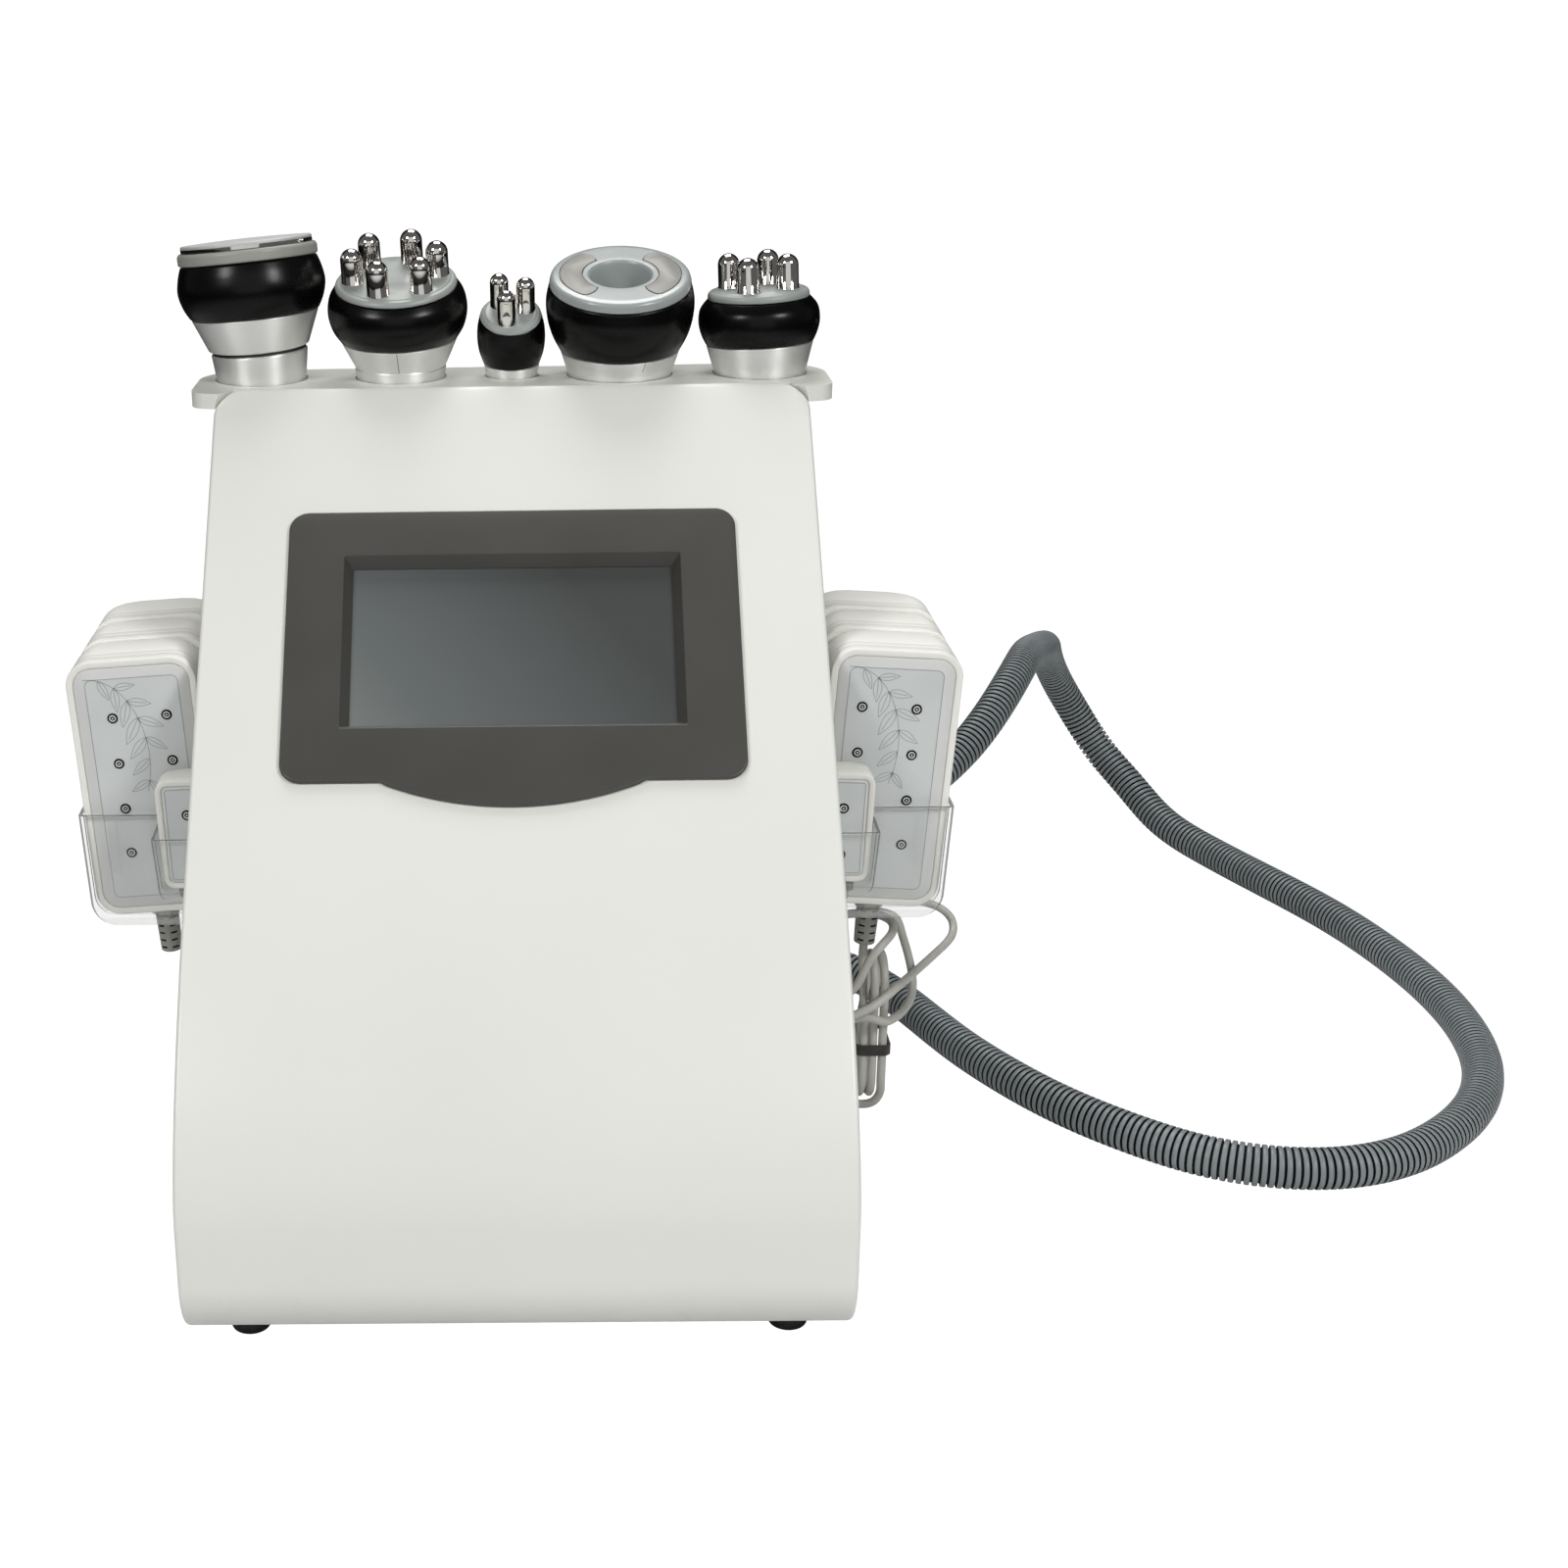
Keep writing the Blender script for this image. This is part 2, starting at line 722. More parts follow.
def make_rocker(pivot):
    """The switch rocker, turned about X at the middle of its face and at rest pressed at the bottom."""
    half, deep, crown = rocker_height / 2, rocker_depth, rocker_crown
    keel_share = 0.55
    side = [(crown, half), (0, 0), (crown, -half), (-deep * keel_share, -half),
            (-deep, 0), (-deep * keel_share, half)]
    width = rocker_well_width - 2 * gap
    stand = Matrix(((0, 0, 1, 0), (1, 0, 0, 0), (0, 1, 0, 0), (0, 0, 0, 1)))
    tilt = Matrix.Translation(pivot) @ Matrix.Rotation(rocker_throw, 4, "X")
    add_part("power_rocker", plate_mesh(side, width, stand), rubber_black, tilt)


def make_hose_port():
    start = rear_face_y + gap
    end = start + port_length
    flange_end = start + port_flange
    lip = overrun / 2
    profile = [
        (port_bore_radius, port_length), (port_barrel_radius - lip, port_length),
        (port_barrel_radius, port_length - lip), (port_barrel_radius, port_flange),
        (port_flange_radius, port_flange), (port_flange_radius, 0), (port_spigot_radius, 0),
        (port_spigot_radius, -port_spigot), (port_bore_radius, -port_spigot),
    ]
    turn = Matrix.Translation((port_x, start, port_height)) @ Matrix.Rotation(math.radians(-90), 4, "X")
    add_part("hose_port", turned_mesh(profile, 16, closed=True), rubber_black, turn)
    return end, flange_end


# Inside: mains supply, ultrasound driver and vacuum pump on the base plate

supply_size = (0.110, 0.080, 0.038)
supply_clearance = 0.0100
supply_y = 0.165
supply_lid = 0.0020
driver_size = (0.170, 0.075)
driver_place = (-0.085, 0.075)
driver_standoff = 0.0060
sink_size = (0.060, 0.030, 0.022)
coil_radius = 0.0140
coil_height = 0.0180
pump_motor_radius = 0.0160
pump_clearance = 0.0120
pump_head = (0.036, 0.040, 0.036)
pump_foot = 0.0030
pump_nozzle_radius = 0.0060


def make_internals():
    floor = underside_height + shell_thickness + gap
    x, y = supply_clearance + panel_thickness - side_face_x, front_y + supply_y
    size = supply_size
    motor_end = x + size[0] + pump_clearance
    supply = add_part("power_supply", box_mesh((x, y, floor), (x + size[0], y + size[1], floor + size[2])),
                      steel)
    terminal_share = 0.8
    low = (x + size[0] * terminal_share, y - overrun, floor + size[2] / 2)
    high = (x + size[0] + overrun, y + size[1] + overrun, floor + size[2] + overrun)
    cut(supply, add_tool(box_mesh(low, high)))

    x, y = driver_place[0], front_y + driver_place[1]
    bottom = floor + driver_standoff
    board = box_mesh((x, y, bottom), (x + driver_size[0], y + driver_size[1], bottom + board_thickness))
    driver = add_part("ultrasound_driver", board, board_green)
    for stand_x in (x + 2 * standoff_radius, x + driver_size[0] - 2 * standoff_radius):
        for stand_y in (y + 2 * standoff_radius, y + driver_size[1] - 2 * standoff_radius):
            post = rod_mesh((stand_x, stand_y, floor), (stand_x, stand_y, bottom + board_thickness / 2),
                            standoff_radius, segments=8)
            join(driver, add_tool(post))
    top = bottom + board_thickness / 2
    low = (x + 4 * standoff_radius, y + 4 * standoff_radius, top)
    high = tuple(corner + size for corner, size in zip(low, sink_size))
    join(driver, add_tool(box_mesh(low, high)))
    coil_x = x + driver_size[0] - coil_radius * 2
    coil_y = y + driver_size[1] / 2
    join(driver, add_tool(rod_mesh((coil_x, coil_y, top), (coil_x, coil_y, top + coil_height),
                                   coil_radius, segments=14)))

    spigot_end = rear_face_y - port_spigot
    head_back = spigot_end - pump_head[1] / 2
    head = box_mesh((port_x - pump_head[0] / 2, head_back - pump_head[1], floor),
                    (port_x + pump_head[0] / 2, head_back, floor + pump_head[2]))
    pump = add_part("vacuum_pump", head, steel)
    axis_z = floor + pump_head[2] / 2
    motor_y = head_back - pump_head[1] / 2
    motor = rod_mesh((port_x, motor_y, axis_z), (motor_end, motor_y, axis_z), pump_motor_radius, segments=14)
    join(pump, add_tool(motor))
    nozzle = rod_mesh((port_x, head_back - pump_foot, port_height), (port_x, spigot_end - gap, port_height),
                      pump_nozzle_radius, segments=12)
    join(pump, add_tool(nozzle))


# Shelf behind the top edge, with a seat for each handpiece

tray_back_depth = 0.0585
tray_ear_reach = 0.0130
tray_ear_bow = 0.0070
tray_rear_corner = 0.0280
tray_lip_height = 0.0240
tray_lip_thickness = 0.0040


def tray_outline():
    """Half of the shelf's outline, mirrored: ears run forward past the top corners of the front."""
    front = rear_face_y + gap
    back = rear_face_y + tray_back_depth
    x, r = tray_width / 2, tray_rear_corner
    inner = half_width + gap
    ear_front = front - tray_ear_reach
    ear_tip = (inner + x) / 2 - tray_ear_bow / 4
    bow = (front + ear_front) / 2
    right = [
        (inner, front), (inner, ear_front + tray_ear_bow), (inner + gap, ear_front), (ear_tip, ear_front),
        (x - tray_ear_bow / 3, bow - tray_ear_bow / 2), (x - tray_ear_bow / 8, bow + tray_ear_bow),
        (x, front + tray_ear_bow / 2),
    ]
    right += arc((x - r, back - r), r, 0, 90, 6)
    left = [(-px, py) for px, py in reversed(right)]
    return right + left


def make_tray(seats):
    at = Matrix.Translation((0, 0, tray_top - tray_thickness / 2))
    tray = add_part("handpiece_tray", plate_mesh(tray_outline(), tray_thickness, at), shell_white)
    front = rear_face_y + gap
    low = (-side_face_x, front, tray_top - tray_thickness - tray_lip_height)
    high = (side_face_x, front + tray_lip_thickness, tray_top - tray_thickness / 2)
    join(tray, add_tool(box_mesh(low, high)))
    for x, radius in seats:
        start = Vector((x, row_y, tray_top - tray_thickness - overrun))
        end = Vector((x, row_y, tray_top + overrun))
        cut(tray, add_tool(rod_mesh(start, end, radius + hole_clearance, segments=16)))


# Handpieces: turned bodies whose axis bends towards the user above the shelf

handle_drop = 0.150
vacuum_handle_drop = 0.1552
neck_radius = 0.0130
gland_tip_radius = 0.0045
gland_root_radius = 0.0065
gland_rise = 0.0220
shoulder_rise = 0.0060
spigot_clearance = 0.0012


class BentAxis:
    """A vertical axis over a seat that tilts through given heights: (height, forward, lean) in degrees."""

    def __init__(self, x, stations):
        self.base = Vector((x, row_y, tray_top))
        self.stations = stations

    def tilt(self, height):
        if height <= 0:
            return 0.0, 0.0
        before = (0, 0, 0)
        for station in self.stations:
            if height <= station[0]:
                share = (height - before[0]) / (station[0] - before[0])
                return tuple(
                    math.radians(before[i] + (station[i] - before[i]) * share) for i in (1, 2)
                )
            before = station
        return math.radians(before[1]), math.radians(before[2])

    def turn(self, height):
        forward, lean = self.tilt(height)
        return Matrix.Rotation(forward, 3, "X") @ Matrix.Rotation(-lean, 3, "Y")

    def center(self, height):
        if height <= 0:
            return self.base + Vector((0, 0, height))
        steps = 24
        point = self.base.copy()
        for i in range(steps):
            point += self.turn(height * (i + 0.5) / steps) @ Vector((0, 0, height / steps))
        return point

    def frame(self, height):
        return Matrix.Translation(self.center(height)) @ self.turn(height).to_4x4()

    def bend(self, mesh):
        frames = {}
        for vertex in mesh.vertices:
            height = round(vertex.co.z, 7)
            if height not in frames:
                frames[height] = self.frame(height)
            vertex.co = frames[height] @ Vector((vertex.co.x, vertex.co.y, 0))
        return mesh


def shank_profile(radius, drop, tip_radius, root_radius):
    """The part of a handle under the shelf, going down."""
    gland_top = gland_rise - drop
    return [
        (radius, gap), (radius, -tray_thickness - shoulder_rise),
        (min(radius, neck_radius) * neck_share, gland_top + shoulder_rise),
        (root_radius, gland_top), (tip_radius, -drop),
    ]


neck_share = 0.92
head_segments = 18


def make_handle(name, axis, spec):
    """A silver handle: its cone on the shelf, the shank under it and the spigot inside the grip band."""
    cone = spec["cone"]
    top_height, top_radius = cone[-1]
    spigot = spec["spigot"]
    profile = [(0, spec["spigot_top"]), (spigot, spec["spigot_top"]), (spigot, top_height)]
    profile += [(radius, height) for height, radius in reversed(cone)]
    profile += shank_profile(spec["shank"], handle_drop, gland_tip_radius, gland_root_radius)
    profile.append((0, -handle_drop))
    return add_part(f"{name}_handle", axis.bend(turned_mesh(profile, head_segments)), silver)


def make_band(name, axis, spec):
    """The black grip band round the spigot, thicker at the back by the bend of the axis."""
    bottom = spec["cone"][-1][0] + gap
    inner = spec["spigot"] + spigot_clearance
    outer = [(radius, height) for height, radius in reversed(spec["band"])]
    top = spec["band"][-1][0]
    profile = outer + [(outer[-1][0], bottom), (inner, bottom), (inner, top)]
    profile = [point for i, point in enumerate(profile) if i == 0 or point != profile[i - 1]]
    mesh = axis.bend(turned_mesh(profile, head_segments, closed=True))
    return add_part(f"{name}_band", mesh, band_black)


pole_segments = 8
pole_dome_steps = 2
contact_board = 0.0020
board_clearance = 0.0015


def make_poles(name, axis, spec):
    """Domed electrodes through the plate, carried by the contact board in the band."""
    poles = spec["poles"]
    bottom = spec["spigot_top"] + board_clearance
    seat = spec["band"][-1][0] + gap
    board_radius = spec["spigot"] - 3 * gap
    frame = axis.frame(seat) @ Matrix.Translation((0, 0, bottom - seat))
    board = rod_mesh((0, 0, 0), (0, 0, contact_board), board_radius, segments=12)
    item = add_part(f"{name}_electrodes", board, chrome, frame)
    radius = poles["radius"]
    length = spec["plate_top"] - bottom + poles["length"]
    dome = [(radius * math.sin(math.radians(90 * i / pole_dome_steps)),
             length - radius + radius * math.cos(math.radians(90 * i / pole_dome_steps)))
            for i in range(pole_dome_steps + 1)]
    profile = dome + [(radius, contact_board / 2), (0, contact_board / 2)]
    for x, y in pole_places(poles):
        join(item, add_tool(turned_mesh(profile, pole_segments), frame @ Matrix.Translation((x, y, 0))))
    return item


def pole_places(poles):
    step = 360 / poles["count"]
    angles = [math.radians(poles["start"] + i * step) for i in range(poles["count"])]
    return [(poles["ring"] * math.cos(a), poles["ring"] * math.sin(a)) for a in angles]


def make_plate(name, axis, spec):
    """The pale disc on the band, with a hole for each pole."""
    bottom = spec["band"][-1][0] + gap
    top = spec["plate_top"]
    radius = spec["plate"]
    soft = spec["plate_round"]
    profile = [(0, top), (radius - 2 * soft, top), (radius - soft / 2, top - soft / 2), (radius, top - soft),
               (radius, bottom), (0, bottom)]
    plate = add_part(f"{name}_plate", axis.bend(turned_mesh(profile, head_segments)), face_gray)
    poles = spec["poles"]
    frame = axis.frame(bottom)
    for x, y in pole_places(poles):
        drill = rod_mesh((x, y, -overrun), (x, y, top - bottom + overrun), poles["radius"] + gap,
                         segments=pole_segments)
        cut(plate, add_tool(drill, frame))
    return plate


six_pole = {
    "x": -0.0575,
    "tilt": ((0.0205, 6.5, 1.3), (0.0500, 15.2, 1.3)),
    "cone": ((gap, 0.0228), (0.0055, 0.0236), (0.0062, 0.0232), (0.0068, 0.0238), (0.0205, 0.0302)),
    "band": ((0.0208, 0.0304), (0.0270, 0.0341), (0.0350, 0.0359), (0.0430, 0.0348), (0.0485, 0.0314)),
    "spigot": 0.0285, "spigot_top": 0.0430, "shank": 0.0185,
    "plate": 0.0312, "plate_round": 0.0018, "plate_top": 0.0525,
    "poles": {"count": 6, "start": 9, "ring": 0.0218, "radius": 0.0057, "length": 0.0172},
}
three_pole = {
    "x": 0.0000,
    "tilt": ((0.0068, 8.7, 0), (0.0332, 31.5, 0)),
    "cone": ((gap, 0.0132), (0.0068, 0.0144)),
    "band": ((0.0071, 0.0146), (0.0138, 0.0167), (0.0206, 0.0175), (0.0274, 0.0172), (0.0340, 0.0158)),
    "spigot": 0.0130, "spigot_top": 0.0295, "shank": 0.0105,
    "plate": 0.0157, "plate_round": 0.0010, "plate_top": 0.0368,
    "poles": {"count": 3, "start": 15.5, "ring": 0.0080, "radius": 0.0047, "length": 0.0188},
}
four_pole = {
    "x": 0.1285,
    "tilt": ((0.0155, -1.2, 2.4), (0.0385, 0.5, 2.4)),
    "cone": ((gap, 0.0235), (0.0155, 0.0276)),
    "band": ((0.0158, 0.0278), (0.0210, 0.0301), (0.0270, 0.0312), (0.0335, 0.0302), (0.0385, 0.0262)),
    "spigot": 0.0240, "spigot_top": 0.0325, "shank": 0.0185,
    "plate": 0.0261, "plate_round": 0.0012, "plate_top": 0.0432,
    "poles": {"count": 4, "start": 66, "ring": 0.0158, "radius": 0.0056, "length": 0.0172},
}
cavitation = {
    "x": -0.1300,
    "tilt": ((0.0150, 0, 4.0), (0.0334, -2.0, 4.6), (0.0608, -4.5, 5.1)),
    "cone": ((gap, 0.0232), (0.0145, 0.0250), (0.0150, 0.0243), (0.0163, 0.0243), (0.0168, 0.0260),
             (0.0334, 0.0328)),
    "band": ((0.0337, 0.0332), (0.0396, 0.0363), (0.0470, 0.0381), (0.0543, 0.0371), (0.0605, 0.0351)),
    "spigot": 0.0300, "spigot_top": 0.0605, "shank": 0.0185,
}
vacuum = {
    "x": 0.0560,
    "tilt": ((0.0135, 6.7, 0), (0.0450, 17.5, 0)),
    "cone": ((gap, 0.0266), (0.0135, 0.0308)),
    "band": ((0.0138, 0.0310), (0.0215, 0.0349), (0.0305, 0.0374), (0.0400, 0.0380), (0.0485, 0.0363)),
    "spigot": 0.0300, "spigot_top": 0.0480, "shank": 0.0185,
}
ring_height = 0.0062
ring_radius = 0.0360
ring_round = 0.0012
face_height = 0.0034
face_radius = 0.0338
face_waist = 0.0004
face_crown = 0.0008


def make_cavitation():
    spec = cavitation
    axis = BentAxis(spec["x"], spec["tilt"])
    items = [make_handle("cavitation", axis, spec), make_band("cavitation", axis, spec)]
    bottom = spec["band"][-1][0] + gap
    top = bottom + ring_height
    profile = [(0, top), (ring_radius - ring_round, top), (ring_radius, top - ring_round),
               (ring_radius, bottom + ring_round), (ring_radius - ring_round, bottom), (0, bottom)]
    items.append(add_part("cavitation_ring", axis.bend(turned_mesh(profile, head_segments)), face_gray))
    low = top + gap
    high = low + face_height
    profile = [(0, high + face_crown), (face_radius / 2, high + face_crown * crown_share),
               (face_radius - ring_round, high), (face_radius, high - ring_round),
               (face_radius, low + face_waist), (face_radius - ring_round, low), (0, low)]
    items.append(add_part("cavitation_plate", axis.bend(turned_mesh(profile, head_segments)), chrome))
    carry("cavitation_lift", axis.base, items)


crown_share = 0.75
cup_height = 0.0050
cup_outer_radius = 0.0362
cup_mouth_radius = 0.0150
cup_well = 0.0180
cup_wall = 0.0030
vacuum_bore = 0.0060
vacuum_cuff_radius = 0.0143
electrode_inner = 0.0196
electrode_outer = 0.0308
electrode_reach = 50
electrode_thickness = 0.0012
electrode_tip_shift = 0.0040


def make_vacuum():
    """The vacuum head: a pale cup with two steel crescents, and a bore down through the handle."""
    spec = vacuum
    axis = BentAxis(spec["x"], spec["tilt"])
    cone_top = spec["cone"][-1][0]
    well_bottom = spec["spigot_top"] - cup_well
    socket = cup_mouth_radius + cup_wall + gap
    drop = vacuum_handle_drop
    profile = [(socket, spec["spigot_top"]), (spec["spigot"], spec["spigot_top"]), (spec["spigot"], cone_top)]
    profile += [(radius, height) for height, radius in reversed(spec["cone"])]
    profile += [
        (spec["shank"], gap), (spec["shank"], -tray_thickness - shoulder_rise),
        (vacuum_cuff_radius, -drop / 2), (vacuum_cuff_radius, -drop), (vacuum_bore, -drop),
        (vacuum_bore, well_bottom), (socket, well_bottom),
    ]
    handle = axis.bend(turned_mesh(profile, head_segments, closed=True))
    items = [add_part("vacuum_handle", handle, silver), make_band("vacuum", axis, spec)]

    bottom = spec["band"][-1][0] + gap
    top = bottom + cup_height
    r, mouth = cup_outer_radius, cup_mouth_radius
    stem = mouth + cup_wall
    floor = well_bottom + gap
    lip, fall = (r - mouth) / 2, cup_height / 3
    profile = [
        (mouth + fall, top - fall / 3), (mouth + lip / 2, top), (r - lip / 2, top), (r - fall / 2, top - fall),
        (r, top - 2 * fall), (r, bottom), (stem, bottom), (stem, floor), (vacuum_bore, floor),
        (vacuum_bore, floor + cup_wall), (mouth - fall / 2, floor + cup_wall),
        (mouth - fall / 2, bottom), (mouth, top - 2 * fall),
    ]
    cup = add_part("vacuum_cup", axis.bend(turned_mesh(profile, head_segments, closed=True)), face_gray)
    items.append(cup)
    frame = axis.frame(top)
    for name, turn in (("left", 180), ("right", 0)):
        seat = crescent(electrode_outer + gap, electrode_inner - gap, electrode_reach + 1)
        spin = frame @ Matrix.Rotation(math.radians(turn), 4, "Z")
        pocket = plate_mesh(seat, 2 * electrode_thickness, spin)
        cut(cup, add_tool(pocket))
        shape = crescent(electrode_outer, electrode_inner, electrode_reach)
        lay = spin @ Matrix.Translation((0, 0, gap - electrode_thickness / 2))
        items.append(add_part(f"vacuum_electrode_{name}", plate_mesh(shape, electrode_thickness, lay), chrome))
    carry("vacuum_lift", axis.base, items)


def crescent(outer, inner, reach):
    """A moon shape round +X, from its lower tip round the outside to its upper tip and back inside."""
    return arc((0, 0), outer, -reach, reach, 8) + arc((0, 0), inner, reach, -reach, 6)


def make_handpieces():
    make_cavitation()
    for name, spec in (("six_pole", six_pole), ("three_pole", three_pole), ("four_pole", four_pole)):
        axis = BentAxis(spec["x"], spec["tilt"])
        makers = (make_handle, make_band, make_plate, make_poles)
        carry(f"{name}_lift", axis.base, [make(name, axis, spec) for make in makers])
    make_vacuum()


# Light pads in clear pockets: three large ones in a row and a small one before them, on each side

pad_corner = 0.0125
pad_edge = 0.0030
pad_groove = 0.0008
pad_frame = 0.0008
pad_recess = 0.0010
pad_front_y = 0.1800
pad_standoff = 0.0037
pad_base_x = side_face_x + pad_standoff
pad_base_height = pocket_floor_height + pocket_wall + gap
small_pad = {"width": 0.0265, "height": 0.0555, "thickness": 0.0180, "corner": 0.0060, "edge": 0.0025}
small_lean = math.radians(2)
small_pad_y = 0.1563
small_pad_height = 0.1692
boot_radius = 0.0057
boot_tip_radius = 0.0046
boot_length = 0.0275
short_boot_length = 0.0140
small_boot_length = 0.0117
boot_shift = 0.00125
rear_boot_shift = 0.01425
boot_bore_clearance = 0.0016

groove_shares = (0.48,)
pad_corner_steps = 2


def pad_mesh(width, height, thickness, corner, edge):
    """A pad's case standing on z = 0 with its inner lower edge at x = 0 and its face at y = 0."""
    def ring(depth, inset):
        points = rounded_rectangle(width - 2 * inset, height - 2 * inset, max(corner - inset, edge), pad_corner_steps)
        return [(x + width / 2, depth, z + height / 2) for x, z in points]

    soft = edge / 3
    rings = [ring(pad_recess, edge + pad_frame), ring(0, edge + pad_frame), ring(0, edge - soft),
             ring(edge - soft, 0)]
    for share in groove_shares:
        middle = thickness * share
        rings += [ring(middle - pad_groove, 0), ring(middle, pad_groove), ring(middle + pad_groove, 0)]
    rings += [ring(thickness - edge + soft, 0), ring(thickness, edge - soft)]
    return loft_mesh(rings)


def make_pad(name, side, y, base_x, base_height, lean, sizes, boot, shift):
    """A pad leaning out from the housing, with a moulded boot for its lead; gives the boot's tip."""
    width, height, thickness, corner, edge = sizes
    mirror = Matrix.Diagonal((side, 1, 1, 1))
    stand = Matrix.Translation((base_x, front_y + y, base_height)) @ Matrix.Rotation(lean, 4, "Y")
    drop = (width - corner) * math.sin(lean)
    place = mirror @ Matrix.Translation((0, 0, drop)) @ stand
    mesh = pad_mesh(width, height, thickness, corner, edge)
    mesh.transform(place)
    pad = add_part(name, facing_out(mesh), case_white)
    start = place @ Vector((width / 2 + shift, thickness / 2, edge))
    tip = place @ Vector((width / 2 + shift, thickness / 2, -boot))
    join(pad, add_tool(facing_out(rod_mesh(start, tip, boot_radius, boot_tip_radius, segments=8))))
    carry(f"{name}_lift", place @ Vector((width / 2, thickness / 2, 0)), [pad])
    return tip


def facing_out(mesh):
    shape = bmesh.new()
    shape.from_mesh(mesh)
    return mesh_from_bmesh(shape)


pocket_corner = 0.0100
pocket_reach = 0.0706
pocket_taper = math.radians(3.4)
pocket_rib_width = 0.0045
pocket_rib_height = 0.0270
pocket_rib_depth = 0.0014
pocket_rib_reach = 0.0565
small_pocket = {"front": 0.1526, "depth": 0.0237, "floor": 0.1660, "height": 0.0325, "width": 0.0312}
small_pocket_taper = math.radians(4.5)
small_pocket_wall = 0.0015
small_pad_standoff = 0.0030
small_pad_base_x = side_face_x + small_pad_standoff


def pocket_mesh(width, depth, height, taper, inset, floor):
    """A tray-like pocket on its back at x = 0, with a slanted outer wall; inset gives its hollow."""
    def ring(z, low_inset):
        outer = width + math.tan(taper) * z - inset
        low, high = inset + low_inset, depth - inset - low_inset
        right = outer - low_inset
        corner = pocket_corner / 4
        points = [(inset, low), (right - corner, low), (right, low + corner), (right, high - corner),
                  (right - corner, high), (inset, high)]
        return [(x, y, z) for x, y in points]

    bottom = floor
    rings = [ring(bottom, pocket_corner / 3), ring(bottom + pocket_corner / 8, pocket_corner / 9),
             ring(bottom + pocket_corner / 3, 0), ring(height, 0)]
    return loft_mesh(rings)


def make_pocket(name, side, y, base_height, width, depth, height, taper, wall, holes):
    place = Matrix.Translation((side_face_x + gap, front_y + y, base_height))
    mirror = Matrix.Diagonal((side, 1, 1, 1))
    outer = pocket_mesh(width, depth, height, taper, 0, 0)
    outer.transform(mirror @ place)
    pocket = add_part(name, facing_out(outer), clear_plastic)
    hollow = pocket_mesh(width, depth, height + overrun, taper, wall, wall)
    hollow.transform(mirror @ place)
    cut(pocket, add_tool(facing_out(hollow)))
    for x, hole_y in holes:
        start, end = (x, hole_y, base_height - overrun), (x, hole_y, base_height + wall + overrun)
        drill = rod_mesh(start, end, boot_radius + boot_bore_clearance, segments=10)
        cut(pocket, add_tool(drill))
    return pocket


def make_sides():
    large = (pad_width, pad_height, pad_thickness, pad_corner, pad_edge)
    small = tuple(small_pad[key] for key in ("width", "height", "thickness", "corner", "edge"))
    pocket_width = pocket_reach - gap
    tips = {}
    pocket_rib_x = side_face_x + pocket_rib_reach
    for word, side in (("left", -1), ("right", 1)):
        holes = []
        for i, row in enumerate(("front", "middle", "rear")):
            boot = boot_length if row == "front" else short_boot_length
            shift = rear_boot_shift if row == "rear" else boot_shift
            y = pad_front_y + i * pad_pitch
            name = f"light_pad_{word}_{row}"
            tip = make_pad(name, side, y, pad_base_x, pad_base_height, pad_lean, large, boot, shift)
            tips[name] = tip
            rise = (pocket_floor_height - tip.z) * math.tan(pad_lean)
            holes.append((tip.x + side * rise, tip.y))
        pocket = make_pocket(f"pocket_{word}", side, pocket_front_y, pocket_floor_height, pocket_width,
                             pocket_depth, pocket_height, pocket_taper, pocket_wall, holes)
        rib_z = pocket_floor_height + pocket_height - overrun / 2
        low = (side * pocket_rib_x - pocket_rib_width / 2, front_y + pocket_front_y - pocket_rib_depth,
               rib_z - pocket_rib_height)
        high = (side * pocket_rib_x + pocket_rib_width / 2, front_y + pocket_front_y + pocket_wall / 2, rib_z)
        join(pocket, add_tool(box_mesh(low, high)))
        name = f"light_pad_{word}_small"
        tip = make_pad(name, side, small_pad_y, small_pad_base_x, small_pad_height, small_lean, small,
                       small_boot_length, 0)
        tips[name] = tip
        rise = (small_pocket["floor"] - tip.z) * math.tan(small_lean)
        make_pocket(f"small_pocket_{word}", side, small_pocket["front"], small_pocket["floor"],
                    small_pocket["width"], small_pocket["depth"], small_pocket["height"],
                    small_pocket_taper, small_pocket_wall, [(tip.x + side * rise, tip.y)])
    return tips


# Ribbed vacuum hose, as (x, distance behind the front, z): its route in metres, chosen by eye

